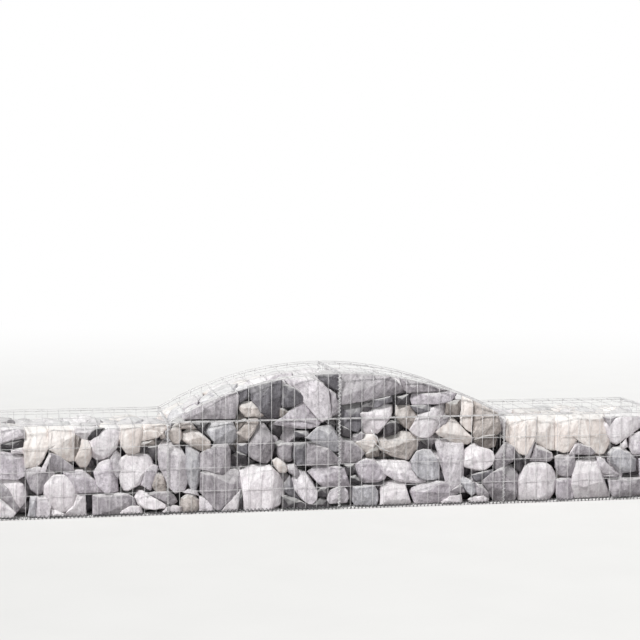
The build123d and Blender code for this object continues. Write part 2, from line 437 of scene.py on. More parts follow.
ARCH_LEFT = (
    stone(P, -79, 29.4, -77, 32.2, -75, 31.8, -70.6, 30.4, -69.2, 28, -67.8, 25, -67.5, 20, -66.8, 14,
          -68, 11, -72, 10, -74.8, 12.8, -76.3, 17.3, -78, 21, -78.9, 25),
    stone(K, -67.3, 29.8, -66, 29.8, -64, 27.8, -61.4, 26.7, -61.2, 20, -61.7, 14, -63, 10.8, -65, 11,
          -66.3, 14, -67, 20, -67.2, 25),
    stone(T, -69, 7, -66.5, 9, -64, 8.3, -62.2, 6, -62, 3, -64, 1, -68, 1.3, -69.3, 4, worn=True),
    stone(P, -68.3, 9.6, -66, 10.8, -63, 10.2, -62.1, 8.2, -64, 8.8, -67, 9.2),
    stone(T, -74.3, 33.8, -74.2, 36, -72, 38.8, -69.8, 40, -69.3, 33.5, -70.6, 31.3, -72.5, 31.7),
    stone(T, -69, 37.5, -68.8, 40, -65.5, 40, -63, 37.3, -66, 37.6),
    stone(D, -64.8, 40, -61.3, 40, -60.8, 37.2, -56.5, 32.6, -59.5, 34.3, -62, 37),
    stone(T, -69, 34.8, -66, 37, -62, 36.3, -60, 33.6, -57.2, 31.6, -57, 29, -58.2, 27.4, -61, 28, -65, 30.2,
          -68.3, 32.2),
    stone(G, -68, 41.3, -64, 46, -60, 49, -52, 52.3, -45.8, 53.8, -44.4, 51, -44.8, 48, -46.3, 44,
          -46.3, 41.3),
    stone(S, -45, 53.8, -43.2, 54.5, -40.8, 54.4, -40.9, 50.4, -43.4, 48.3, -44.2, 49.2),
    stone(T, -44.5, 46.5, -42, 48.4, -38, 48, -35, 45.8, -33.4, 42.6, -36, 41.6, -41, 42, -43, 44),
    stone(B, -45.4, 39.2, -42, 40.8, -41, 40.3, -43.8, 37, -45.2, 36.6),
    stone(T, -45.2, 35, -43, 37, -40, 40.8, -36.3, 40.8, -36, 38.8, -38, 35.5, -40, 32.3, -41, 31.9,
          -44, 34),
    stone(M, -37, 37, -35.3, 39.3, -33.3, 38.3, -31, 34.7, -29.4, 31, -29.1, 28, -30.1, 24, -32, 21.9,
          -34, 21.9, -37, 23.2, -39.5, 25, -40, 28, -39, 31, -37.3, 33.5),
    stone(S, -44.8, 30, -41.2, 30, -40.5, 27.5, -41, 25.5, -44, 27),
    stone(D, -45, 26.3, -44, 26.5, -41.2, 25, -40.6, 22, -45, 21.5),
    stone(K, -58.3, 36, -58, 38.3, -55.5, 40, -47.6, 40, -45.7, 36.5, -45.7, 33, -47.2, 30.8, -53, 30.4,
          -55.5, 32),
    stone(D, -61, 40, -57.3, 40, -58.8, 36.3, -60.6, 35.5),
    stone(G, -60.8, 19.8, -60.6, 26.3, -58, 27, -54, 30, -49.2, 30, -48.2, 27, -48.6, 20, -49.6, 17.3,
          -51.5, 17, -55, 18.2),
    stone(M, -60.8, 18.2, -51.5, 16.3, -49, 16.8, -46.5, 19.1, -44.2, 18, -41.4, 14, -41.3, 10.7,
          -47.6, 9.6, -49.5, 4.6, -52.5, 2, -54, 2.2, -56, 5.2, -58.3, 7.8, -60.8, 9.8),
    stone(P, -61.3, 7.6, -59.2, 7.2, -56.3, 4, -55.6, 2, -57, 0.8, -61.3, 0.8),
    stone(W, -47.3, 9.9, -43.7, 10.2, -44, 6, -45, 1, -52, 0.8, -50, 3.2, -48, 6.2),
    stone(D, -43.1, 10, -42.3, 9.2, -42.2, 1, -44.2, 1, -43.5, 5.5),
    stone(W, -44, 18.2, -40, 20.3, -36, 20.6, -31, 20.1, -29.5, 18.6, -27, 16, -25.1, 12.5, -24.9, 8,
          -25.6, 4.6, -27, 3, -31, 1.5, -36, 0.8, -41.5, 0.8, -41.8, 2, -41.6, 8, -40.8, 13, -42.5, 15.6),
    stone(C, -29.3, 22.3, -27.5, 23.2, -25.5, 22, -23.8, 20.5, -23.2, 18.2, -24.2, 17.2, -26.5, 17.8,
          -28.3, 20),
    stone(G, -22.8, 20.4, -20, 20.4, -18.2, 17, -18, 15.7, -19.5, 15.5, -22, 17.2, -22.9, 18.6),
    stone(M, -27.2, 28.8, -25.5, 29.6, -22, 29.6, -21.2, 28.5, -20.9, 23, -22.6, 22, -26, 22.7,
          -27.2, 25.5, worn=True),
    stone(S, -20.3, 29.3, -15, 29.6, -14.7, 20.4, -18.6, 20.4, -20.3, 24),
    stone(M, -14.4, 29.5, -11, 29.5, -5, 27, -0.7, 22.6, -0.4, 20.6, -6, 19.9, -14.3, 20.1),
    stone(S, -40.4, 51.5, -39.8, 53.8, -34, 55, -28, 56.6, -25.8, 57, -25.4, 51.5, -25.8, 46,
          -26.5, 41.6, -32, 41.5, -34.6, 44, -37.6, 47.9),
    stone(S, -25, 55, -22.6, 55, -20, 53.2, -17.6, 51.8, -15.9, 49.2, -17.4, 47.6, -21, 46, -24, 45.8,
          -25.2, 47),
    stone(B, -26.2, 44.8, -24.5, 44.8, -22.6, 43.4, -25, 41.7, -26.2, 41.8),
    stone(P, -24.8, 57.6, -22, 58.3, -16, 58.6, -12, 57.6, -8.5, 55.6, -5.4, 52.8, -4.8, 48, -3.6, 41.4,
          -8, 39.2, -10.6, 41.4, -15.2, 47.9, -20, 53.8),
    stone(G, -4.6, 53, -1.7, 50.5, -0.5, 46.5, -0.3, 42.8, -3.2, 41.6),
    stone(L, -28.3, 39, -25, 41.3, -20.4, 45, -15.8, 48.8, -11.2, 41.6, -8.4, 39, -9.8, 37, -13, 36.4,
          -17, 36.5, -22, 37, -28.2, 38),
    stone(K, -14.8, 32, -12, 34, -9.5, 36.3, -4.2, 37.2, -2.7, 35.3, -0.8, 32, -0.5, 28, -1, 26,
          -2.5, 25.8, -7.5, 28.5, -12.5, 31.4),
    stone(S, -20, 35.2, -14.5, 35, -13.3, 32.3, -19, 32.6),
    stone(P, -20.5, 15.5, -17.5, 17.8, -15.5, 16.8, -13.5, 14.5, -12, 11.5, -9.8, 8, -10.3, 5, -12, 3,
          -13.7, 2.8, -16.5, 5.5, -20.5, 10, -21.3, 13),
    stone(S, -24.3, 12, -22, 15.5, -21.7, 12.5, -21, 9, -17.5, 5, -20, 5, -24, 9),
    stone(D, -25.3, 6.5, -21.5, 6.8, -17, 4, -14, 2.5, -14, 0.8, -25.3, 0.8),
    stone(D, -13.3, 2.2, -8, 5.3, -5.7, 4, -4.3, 2, -4.3, 0.8, -13.3, 0.8),
    stone(D, -9.8, 8, -8, 9.8, -5.7, 9.6, -5.2, 7, -6, 5.8, -9, 6.2),
    stone(L, -14, 17, -11.5, 19.1, -8, 19.3, -5, 18.5, -2, 18.9, 2, 18.3, 3.4, 14, 4.6, 11, 4, 10.3,
          -2, 10.3, -6.5, 10.3, -9, 12.2, -11, 14.6),
    stone(P, -5, 6, -3.5, 8.3, -1, 9.5, 2, 9.3, 3.4, 8, 3.8, 5, 3, 3.2, -4, 3, -5.1, 4.6),
    stone(S, -10.5, 57.9, -8, 59, -0.5, 59.4, -0.5, 52.3, -4.4, 54.4, -7.8, 56.8),
)

ARCH_RIGHT = (
    stone(G, 0.4, 58.8, 6, 59.2, 14, 58.6, 22, 57, 25, 56, 27, 54, 28.3, 52.5, 28, 51, 24, 50.4, 16, 48.8,
          10, 47.7, 5, 46.7, 1, 46.3),
    stone(S, 0.7, 45.8, 5, 46, 9.3, 46.5, 9, 42, 9.5, 36.5, 8, 34.3, 5, 35.2, 2.5, 36.2, 0.8, 37.4),
    stone(D, 10, 45, 11, 47, 15, 48, 15, 44.7, 12.5, 43, 10.3, 43.3),
    stone(S, 15.4, 48, 23, 49.6, 23.4, 47, 20, 46.2, 17, 44.7, 15.4, 44.5),
    stone(W, 9.9, 42, 12, 43.3, 14, 44, 17, 44.4, 20, 45.8, 23.2, 45.4, 23.1, 42, 22, 39.5, 20, 37, 17, 33.8,
          14, 33.3, 11.5, 33.5, 10.3, 35),
    stone(D, 0.8, 37, 3, 35.6, 5, 34.6, 5, 32.8, 4, 32.3, 1, 32.8),
    stone(M, 5, 33, 9.5, 33.8, 11, 32.8, 10, 30.7, 7, 29.8, 4.7, 31.4),
    stone(C, 11, 32.8, 15, 32.8, 16.7, 31, 16.7, 29.6, 15, 27.2, 12.6, 25, 11.5, 25.4, 8.2, 28.2, 7.5, 29.4,
          10.2, 30.5),
    stone(M, 0.5, 31.8, 4.4, 31.2, 7.7, 28.2, 11, 24.8, 9, 21.8, 6, 20.9, 0.5, 20.7),
    stone(B, 12, 24.3, 14.8, 26, 16, 28, 17.5, 26, 17, 23.5, 12.5, 22.8),
    stone(L, 6.7, 20.3, 8, 22, 12, 22.7, 15, 21.8, 17.5, 19.8, 20, 16.8, 20.7, 14.5, 19.8, 12.9, 17, 12.2,
          12, 12, 10, 12.5, 8, 15, 7, 18, worn=True),
    stone(P, 15.8, 21.5, 21.5, 20.8, 29, 20.5, 31, 19.5, 33, 16.8, 38, 12.2, 39.5, 10.9, 33, 10.8, 28, 11.8,
          24.5, 13, 21.2, 14.8, 20.4, 17),
    stone(D, 2.3, 19.5, 6.3, 19.6, 6.8, 17, 5.3, 14.8, 3.6, 15.3),
    stone(D, 4.9, 14.4, 7.3, 14.9, 9.3, 12.2, 8, 11.6, 5, 11.6),
    stone(K, 6.2, 9.7, 10, 10, 15, 9.9, 16.8, 7.5, 17, 4, 16.2, 0.8, 7.5, 0.8, 6.3, 4),
    stone(W, 18.6, 10, 21, 11.3, 24.5, 12, 29, 10.2, 30.3, 7, 32, 2.5, 32, 0.8, 18.6, 0.8),
    stone(T, 16.8, 28.6, 18, 31, 24, 32.4, 28, 33.6, 33, 33, 36.2, 30, 35.4, 27.2, 32, 23.2, 30.8, 21.5,
          24, 23.3, 18, 26),
    stone(D, 19.6, 36.8, 23, 38.3, 25, 37.8, 26.3, 35, 25.4, 33.3, 20.5, 31.9, worn=True),
    stone(T, 25.3, 45, 31, 45.3, 34.4, 41, 34.7, 37.2, 31.5, 34.8, 29, 36.2, 26.8, 38.5, 25.4, 41),
    stone(D, 26, 49, 30.8, 50, 31, 46, 26, 45.7),
    stone(M, 28.6, 52.5, 30, 51.6, 31.5, 50.8, 36, 51.3, 44, 51.3, 49, 51.2, 50.3, 52.2, 45, 54.3, 38, 56.2,
          28, 57.2, 27, 56, 28, 54.5),
    stone(L, 32.2, 50.2, 36, 50.8, 44, 50.7, 50, 50.6, 53, 48.6, 50, 46.7, 44, 45.9, 33, 45.5, 31.8, 47.5),
    stone(S, 32.2, 45, 40, 45.3, 41.5, 44, 41, 42.3, 35.8, 42.2, 34.5, 42.5),
    stone(B, 48.3, 46, 54.3, 47.3, 55, 44.5, 53.4, 40.8, 50.8, 40.2, 48, 41.2),
    stone(C, 55.4, 48, 58, 48.6, 60, 47.2, 60.3, 44, 59.8, 33, 57.2, 34.6, 54.7, 37.5, 55.2, 42),
    stone(W, 31.8, 34.6, 34.6, 36.8, 35.5, 41.3, 41, 41.6, 42.5, 44.5, 47.3, 45.8, 47.3, 42, 46.4, 38,
          45, 35.7, 42, 32.7, 40, 31.2, 36, 31.3, 33, 33),
    stone(M, 42.7, 33, 46.6, 38.6, 47, 40.5, 50, 40.6, 47.7, 37, 45.2, 34),
    stone(C, 50.6, 39.8, 53, 36.8, 56, 33.8, 59.8, 30.6, 59.3, 28.7, 57.5, 27.6, 52, 28.8, 45.2, 31.6,
          43.8, 33, 47.2, 36.5),
    stone(T, 60.6, 32, 60.8, 46.3, 63, 46, 67, 43.8, 69.8, 42, 71.3, 40.3, 72, 37, 73, 33.5, 71.5, 31.8,
          66, 31.2, 62, 29.8),
    stone(B, 61.2, 29.2, 66, 30.7, 70.5, 31.3, 71, 29, 70.2, 26.2, 66, 25.3, 62.3, 27.8),
    stone(W, 56.6, 24.5, 60, 27.3, 61.5, 27.8, 66, 25.8, 69.3, 23.5, 70.3, 21, 69, 18.2, 66, 15.8, 62, 16.2,
          56.7, 17.6, 56.2, 20),
    stone(S, 60.5, 13.5, 66, 14.6, 69.7, 15.8, 69.7, 11.5, 62.3, 11),
    stone(P, 42.7, 29.7, 55.3, 29.9, 55.9, 27.5, 56, 22, 56, 14, 55, 9.8, 50.5, 7.2, 48.8, 9, 48.3, 14,
          46.8, 20, 43.8, 26),
    stone(K, 32.6, 20.5, 35, 24.3, 38, 25.3, 41, 24.8, 43.4, 21.3, 44.9, 18, 44.9, 13, 42, 12.2, 38, 12.2,
          35.7, 13.7, 33.2, 17.5),
    stone(L, 33, 8.5, 37, 10.4, 44, 10.9, 48, 10.4, 48.8, 7.5, 49.8, 5.7, 54, 5.5, 50, 4, 47, 2.5, 44, 0.8,
          34.6, 0.8, 33.6, 3.5, 32.3, 7),
    stone(W, 46.2, 2, 50, 3.8, 55, 4.8, 55.3, 1, 46, 0.8, worn=True),
    stone(M, 50.7, 6.6, 54.7, 9.3, 56, 8.5, 56.8, 6, 53, 5.8),
    stone(K, 55.2, 13.3, 57, 12.2, 60, 10.6, 62, 8, 62.4, 5.7, 60, 4.7, 57.6, 6.7, 55.9, 9.7),
    stone(M, 62.2, 9.6, 65, 9.1, 67.8, 5.2, 68, 3.2, 64, 3.8, 62.7, 5.2),
    stone(W, 58.7, 2.5, 61, 3.8, 66, 4.2, 67.8, 2.5, 67, 0.9, 60, 0.8, worn=True),
)

RIGHT_BAY = (
    stone(C, 76, 40, 90, 40, 89.5, 29.8, 87.3, 29.3, 85.5, 22.3, 82, 22.8, 79, 25.2, 76.3, 29),
    stone(C, 86.5, 40, 98.4, 40, 98.4, 24, 96, 24.2, 92, 26.2, 87, 29.8),
    stone(W, 84.7, 20.6, 87.5, 28.2, 89, 27.2, 87, 20.9),
    stone(M, 87.2, 19, 87.4, 21, 89.5, 26.3, 91, 25.8, 97, 22.4, 97.6, 20.4, 96, 18.8),
    stone(M, 69.7, 20.2, 75, 27.3, 76.5, 27.3, 79.3, 25.3, 79.9, 24, 79.9, 20, 75, 17, 71.3, 15.8),
    stone(D, 79.9, 24.2, 82, 23.3, 83.3, 20, 83.8, 16.8, 82.5, 14.8, 80.3, 16.2),
    stone(W, 82, 1, 81.6, 4, 82, 10, 83, 14, 85, 16.6, 88, 18.1, 94, 18.1, 97, 16, 98.6, 13, 99.1, 9,
          98.3, 5, 96, 2, 92, 0.8, worn=True),
    stone(M, 65.8, 11, 70, 14, 74, 16.3, 77, 17.3, 79, 17.3, 81, 15, 81.8, 12, 81, 5, 80, 1, 71, 1, 68.8, 5,
          66, 9),
    stone(G, 98.8, 20.6, 101, 21.3, 108, 21.3, 107.3, 17, 108.5, 12.3, 104, 11.8, 101, 13, 99.5, 16),
    stone(C, 98.8, 40, 111, 40, 110, 29.6, 107.6, 29, 105.7, 23.4, 103, 22.8, 98.8, 24.2),
    stone(C, 107, 40, 121.3, 40, 121, 34, 124.3, 31.8, 124.3, 26, 122, 21.8, 119.5, 21.6, 116.5, 23.2,
          107.4, 29.6),
    stone(P, 105.7, 21.6, 108.3, 27.8, 110.2, 26.2, 108.2, 21.6),
    stone(G, 108.5, 21.6, 110.2, 26.7, 111.5, 26.5, 115.5, 24.4, 117.5, 22.3, 116, 21.4),
    stone(W, 107.7, 18.3, 115, 20, 117, 20.3, 119.6, 17, 120.5, 12, 121.5, 9, 124.5, 4, 125.3, 1, 108.5, 0.8,
          107, 8, 108.8, 12),
    stone(L, 100, 10, 105, 11.4, 106.8, 10, 107.6, 4, 107.3, 0.8, 101, 0.8, 99.8, 4),
    stone(P, 118.6, 19.8, 121, 19.4, 124.8, 14.6, 128.8, 11.9, 121.6, 12.3, 120.4, 15),
    stone(M, 121.2, 11.8, 128.5, 11.5, 128, 10.6, 121.8, 10.4),
    stone(K, 124.3, 21.5, 126.5, 23.8, 130, 24.3, 134, 21.4, 137.3, 18.5, 137, 13.2, 133, 13.2, 130, 12.8,
          127, 16, 125.2, 19, worn=True),
    stone(W, 121.5, 34.5, 123.3, 36.8, 126, 36.6, 131, 40, 139.3, 40, 139.3, 33, 134, 29.5, 131, 27.5,
          128, 26, 125.3, 27, 125, 31, worn=True),
    stone(G, 121.7, 38.1, 128.5, 38.1, 124.4, 34.2),
    stone(W, 130.2, 25.2, 132.6, 28, 133, 24.5, 131.2, 23.5),
    stone(P, 134, 29, 139, 31, 142, 26, 141, 21, 136, 21, 134.3, 24),
    stone(G, 124.5, 9.6, 140, 9.6, 140.5, 2, 127, 1.5, 125.5, 5),
    stone(P, 140, 40, 149.5, 40, 149.5, 31, 144, 29.5, 140.5, 32),
    stone(C, 142.5, 29, 149.5, 30, 149.5, 20, 143, 20, 141.5, 22),
    stone(L, 139, 18.5, 149.5, 19, 149.5, 10, 139.5, 10.5),
    stone(P, 141, 9.5, 149.5, 9.5, 149.5, 0.8, 141, 0.8),
)

FRONT_STONES = LEFT_BAY + ARCH_LEFT + ARCH_RIGHT + RIGHT_BAY


def show(name: str, mesh: bpy.types.Mesh, slot: str, *nodes: str) -> None:
    """Puts a mesh into the scene as a piece of the wall.

    Args:
        name: Name of the piece.
        mesh: Its mesh.
        slot: Not used.
        *nodes: CAD nodes that it stands for.
    """
    obj = bpy.data.objects.new(name, mesh)
    bpy.context.scene.collection.objects.link(obj)
    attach(obj, "root")
    if nodes:
        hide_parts(*nodes)
    LOG.info("%s: %d faces", name, len(mesh.polygons))


def sway(point: Vector) -> Vector:
    """Moves a point of the mesh as handling and the stones' pressure have bent it.

    The panels bulge outwards a little between stations and stay put where they are laced.

    Args:
        point: Place on the true grid.

    Returns:
        The place on the bent grid.
    """
    bulge, slip, face_zone = 0.0012, 0.0007, 0.2
    x, y, z = point
    height = min(max(z / wall_top(x), 0.0), 1.0)
    free = math.sin(math.pi * ((x / BAY) % 1.0)) ** 2 * math.sin(math.pi * height)
    wave = math.sin(9.1 * x + 3.7 * z + 1.3) + 0.6 * math.sin(21.0 * x - 13.0 * z)
    slide = slip * free * math.sin(17.0 * x + 8.0 * z + 4.0 * y)
    out = math.copysign(1.0, y) * bulge * free * (1.6 + wave) if abs(y) > face_zone else 0.0
    return Vector((x + slide, y + out, z))


def places(start: float, end: float, pitch: float) -> list[float]:
    """Middles of parallel wires from one edge to the other.

    Args:
        start: One edge.
        end: Other edge.
        pitch: Distance that the gaps come closest to.

    Returns:
        The places in order.
    """
    gaps = max(1, round((end - start) / pitch))
    return [start + WIRE, *[start + step * (end - start) / gaps for step in range(1, gaps)], end - WIRE]


@dataclass
class WireWork:
    """Round wires gathered into one mesh."""

    name: str
    sides: int = 8
    verts: list[Triple] = field(default_factory=list)
    faces: list[tuple[int, ...]] = field(default_factory=list)

    def tube(self, points: list[Vector], radius: float = DRAWN) -> None:
        """Adds one wire with closed ends.

        Args:
            points: Points along the middle of the wire.
            radius: Half the wire's thickness.
        """
        base = len(self.verts)
        across = (points[1] - points[0]).normalized().orthogonal().normalized()
        for index, point in enumerate(points):
            along = (points[min(index + 1, len(points) - 1)] - points[max(index - 1, 0)]).normalized()
            across = (across - along * across.dot(along)).normalized()
            over = along.cross(across)
            for side in range(self.sides):
                angle = 2 * math.pi * side / self.sides
                self.verts.append(tuple(point + (across * math.cos(angle) + over * math.sin(angle)) * radius))
        last = len(self.verts) - self.sides
        for low in range(base, last, self.sides):
            high = low + self.sides
            for side in range(self.sides):
                following = (side + 1) % self.sides
                self.faces.append((low + side, low + following, high + following, high + side))
        self.faces.append(tuple(base + side for side in reversed(range(self.sides))))
        self.faces.append(tuple(last + side for side in range(self.sides)))

    def straight(
        self, start: Iterable[float], end: Iterable[float], step: float = SWAY_STEP, radius: float = DRAWN
    ) -> None:
        """Adds a straight wire, in pieces so that it can sway.

        Args:
            start: One end.
            end: Other end.
            step: About the length of a piece.
            radius: Half the wire's thickness.
        """
        low, high = Vector(start), Vector(end)
        count = max(1, round((high - low).length / step))
        self.tube([sway(low.lerp(high, index / count)) for index in range(count + 1)], radius)

    def finish(self, material: Material, slot: str, *nodes: str) -> None:
        """Makes the wires a piece of the wall.

        Args:
            material: Finish of the wires.
            slot: Material slot of the record.
            *nodes: CAD nodes that they stand for.
        """
        mesh = bpy.data.meshes.new(self.name)
        mesh.from_pydata(self.verts, [], self.faces)
        mesh.update()
        mesh.materials.append(material)
        mesh.shade_smooth()
        for polygon in mesh.polygons:
            polygon.use_smooth = len(polygon.vertices) == 4
        show(self.name, mesh, slot, *nodes)


@dataclass
class BayPiece:
    """Piece of one bay, between two stations."""

    number: int

    @property
    def start(self) -> float:
        """Left edge of the bay."""
        return STATIONS[self.number - 1]

    @property
    def end(self) -> float:
        """Right edge of the bay."""
        return self.start + BAY

    @property
    def arched(self) -> bool:
        """Whether half the arch stands on the bay."""
        return abs(self.start + BAY / 2) < BAY

    def holds(self, x: float) -> bool:
        """Whether the bay reaches over x."""
        return self.start <= x < self.end

    def steps(self, count: int) -> list[float]:
        """Places that divide the bay into that many equal steps."""
        return [self.start + BAY * step / count for step in range(count + 1)]


@dataclass
class UprightPanel(BayPiece):
    """Welded front or back panel of one bay, with the face of the arch above it where there is one."""

    facing: int
    material: Material
    shortest: float = 0.012
    end_gap: float = 0.0005

    def build(self) -> None:
        """Makes the panel's rails and uprights, and the arch's face."""
        side = "front" if self.facing < 0 else "back"
        inner = self.facing * (LACED + WELD)
        outer = self.facing * (HALF_DEPTH - WIRE)
        work = WireWork(f"{side}_mesh_{self.number}")
        *rails, top_rail = places(0.0, HEIGHT, RAIL_PITCH)
        for height in rails:
            work.straight((self.start, inner, height), (self.end, inner, height))
        work.straight((self.start, inner, top_rail), (self.end, inner, top_rail), radius=EDGE)
        for x in places(self.start, self.end, UPRIGHT_PITCH):
            work.straight((x, outer, 0.0), (x, outer, HEIGHT))
        work.finish(self.material, "mesh_wire", f"{side}_panel_{self.number}")
        if self.arched:
            self.build_arch(side, inner, outer)

    def build_arch(self, side: str, inner: float, outer: float) -> None:
        """Makes the face of half the arch: foot rail, curved rail and uprights.

        Args:
            side: Front or back.
            inner: Depth of the rails.
            outer: Depth of the uprights.
        """
        half = "left" if self.start < 0 else "right"
        work = WireWork(f"arch_{side}_mesh_{half}")
        foot = HEIGHT + WIRE
        work.straight((self.start, inner, foot), (self.end, inner, foot), radius=EDGE)
        work.tube([on_arch(x, inner, -WIRE) for x in self.steps(CURVE_STEPS)], EDGE)
        for x in places(self.start, self.end, UPRIGHT_PITCH):
            top = arch_top(x) - self.end_gap
            if top > HEIGHT + self.shortest:
                work.straight((x, outer, HEIGHT), (x, outer, top))
        work.finish(self.material, "mesh_wire", f"arch_{side}_{half}")


@dataclass
class Lid(BayPiece):
    """Lid of one bay: cross wires with four lengthwise wires on them, bent where the bay is arched."""

    material: Material

    def build(self) -> None:
        """Makes the lid's wires."""
        work = WireWork(f"lid_mesh_{self.number}")
        seat = LID_SEAT if self.arched else 0.0
        for x in places(self.start, self.end, LID_PITCH):
            front, back = (self.on_top(x, side * HALF_DEPTH, seat + WIRE) for side in (-1, 1))
            work.straight(front, back, FIRM_STEP / 4)
        for y in places(-HALF_DEPTH, HALF_DEPTH, 2 * HALF_DEPTH / LANES):
            lift = 3 * WIRE - WELD + seat
            work.tube([self.on_top(x, y, lift) for x in self.steps(CURVE_STEPS if self.arched else 15)])
        work.finish(self.material, "mesh_wire", f"lid_{self.number}")

    def on_top(self, x: float, y: float, lift: float) -> Vector:
        """Place on the lid, at a distance above the basket's top."""
        return on_arch(x, y, lift) if self.arched else Vector((x, y, HEIGHT + lift))


@dataclass
class BasePanel(BayPiece):
    """Base of one bay, flat on the ground."""

    material: Material

    def build(self) -> None:
        """Makes the base's wires."""
        work = WireWork(f"base_mesh_{self.number}")
        for x in places(self.start, self.end, LID_PITCH)[1:-1]:
            work.straight((x, -INSIDE, WIRE), (x, INSIDE, WIRE), FIRM_STEP)
        for y in places(-INSIDE, INSIDE, 2 * HALF_DEPTH / LANES):
            work.straight((self.start, y, WIRE), (self.end, y, WIRE), FIRM_STEP)
        work.finish(self.material, "mesh_wire", f"base_panel_{self.number}")


@dataclass
class CrossPanel:
    """Panel across the basket: an end or a divider."""

    station: float
    name: str
    node: str
    material: Material

    def build(self) -> None:
        """Makes the panel's wires."""
        work = WireWork(self.name)
        top = wall_top(self.station) - (LID_SEAT if self.station == 0 else 0.0)
        x = inward(self.station, WIRE)
        for z in places(0.0, top, RAIL_PITCH):
            work.straight((x, -INSIDE, z), (x, INSIDE, z), FIRM_STEP)
        for y in places(-INSIDE, INSIDE, UPRIGHT_PITCH):
            work.straight((x, y, 0.0), (x, y, top), FIRM_STEP)
        work.finish(self.material, "mesh_wire", self.node)


@dataclass
class SpiralBinder:
    """Close spiral that laces the panels' edges together along a straight line."""

    name: str
    foot: Vector
    along: Vector
    outward: Vector
    length: float
    material: Material
    nodes: tuple[str, ...] = ()
    thickness: float = 0.0006
    floor: float = -1.0
    radius: float = 0.0065
    pitch: float = 0.1 / 6
    corners: int = 14

    def build(self) -> None:
        """Makes the spiral."""
        work = WireWork(self.name, sides=6)
        steps = round(self.length / self.pitch) * self.corners
        across = self.along.cross(self.outward)
        path = []
        for step in range(1, steps):
            angle = 2 * math.pi * step / self.corners
            reach = self.outward * math.cos(angle) + across * math.sin(angle)
            place = self.foot + self.along * (self.length * step / steps) + reach * self.radius
            place.z = max(place.z, self.floor)
            path.append(place)
        work.tube(path, self.thickness)
        work.finish(self.material, "spiral_wire", *self.nodes)


@dataclass
class TieWires:
    """Two bent stay wires that hold the front mesh of the arch back against its stones."""

    material: Material
    radius: float = 0.002
    behind: float = 0.0062
    bends: tuple[tuple[Pair, ...], ...] = (
        ((0.142, 0.348), (0.149, 0.335), (0.164, 0.320), (0.175, 0.300), (0.182, 0.276)),
        ((0.152, 0.302), (0.165, 0.283), (0.182, 0.267), (0.204, 0.257), (0.227, 0.248)),
    )

    def build(self) -> None:
        """Makes both wires, just inside the mesh."""
        work = WireWork("tie_wires")
        for bend in self.bends:
            work.tube([Vector((x, -HALF_DEPTH + self.behind, z)) for x, z in bend], self.radius)
        work.finish(self.material, "spiral_wire")


# Length of a mesh edge of the stones at the front, at the back and inside
FINE, COARSE, HIDDEN = 0.0095, 0.014, 0.03
SEEDS = 10000  # number of patterns that a loose stone can have


